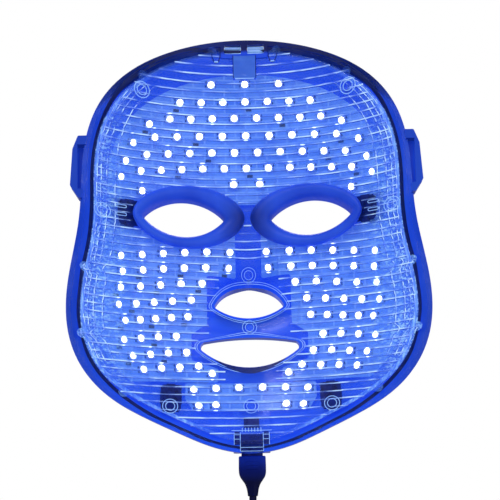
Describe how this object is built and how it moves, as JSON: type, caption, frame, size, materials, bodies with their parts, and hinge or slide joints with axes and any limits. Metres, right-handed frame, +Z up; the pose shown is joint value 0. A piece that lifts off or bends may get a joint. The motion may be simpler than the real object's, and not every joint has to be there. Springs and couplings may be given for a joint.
{
  "type": "led face mask",
  "caption": "Curved full-face light therapy mask with openings for eyes, nose and mouth, clear inner liner over LED boards, soft eye rings, strap lugs and a pull-out plug on a lead.",
  "frame": {"origin": "middle of the mask at eye height, level with the rim at the cheeks, where the face goes in", "axes": "+Z up as worn, -Y towards the wearer, so the nose points along +Y and +X is the wearer's right-hand side seen from behind the mask"},
  "size_m": [0.1984, 0.0869, 0.4355],
  "materials": {
    "shell_plastic": "gloss",
    "liner_plastic": "ribbed",
    "silicone": "matte",
    "board": "satin",
    "led": "gloss",
    "chip": "matte",
    "flex": "satin",
    "film": "satin",
    "metal": "polished",
    "contact": "polished",
    "insulator": "matte",
    "grip": "satin",
    "jacket": "satin",
    "tie": "woven"
  },
  "bodies": {
    "mask": {"front_shell": "shell_plastic", "inner_liner": "liner_plastic", "forehead_led_board": "board", "cheek_led_board_left": "board", "cheek_led_board_right": "board", "chin_led_board": "board", "forehead_leds": "led", "cheek_leds_left": "led", "cheek_leds_right": "led", "chin_leds": "led", "series_resistors": "chip", "flex_bridges": "flex", "insulation_patches": "film", "socket_shell": "metal", "socket_tongue": "insulator", "socket_contacts": "contact", "socket_board": "board", "driver_chip": "chip"},
    "cushion_left": {"eye_cushion_left": "silicone"},
    "cushion_right": {"eye_cushion_right": "silicone"},
    "plug_and_lead": {"plug_shell": "metal", "plug_insulator": "insulator", "plug_contacts": "contact", "plug_overmould": "grip", "plug_strain_relief": "grip", "cable": "jacket", "cable_coil": "jacket", "coil_tie": "tie", "cable_tail": "jacket", "far_plug_shell": "metal", "far_plug_insulator": "insulator", "far_plug_contacts": "contact", "far_plug_overmould": "grip", "far_plug_strain_relief": "grip"}
  },
  "joints": [
    {"name": "plug_pull", "type": "slide", "parent": "mask", "child": "plug_and_lead", "axis": [0, 0, -1], "range_m": [0, 0.015]},
    {"name": "cushion_left_pull", "type": "slide", "parent": "mask", "child": "cushion_left", "axis": [0, -1, 0], "range_m": [0, 0.025]},
    {"name": "cushion_right_pull", "type": "slide", "parent": "mask", "child": "cushion_right", "axis": [0, -1, 0], "range_m": [0, 0.025]}
  ]
}
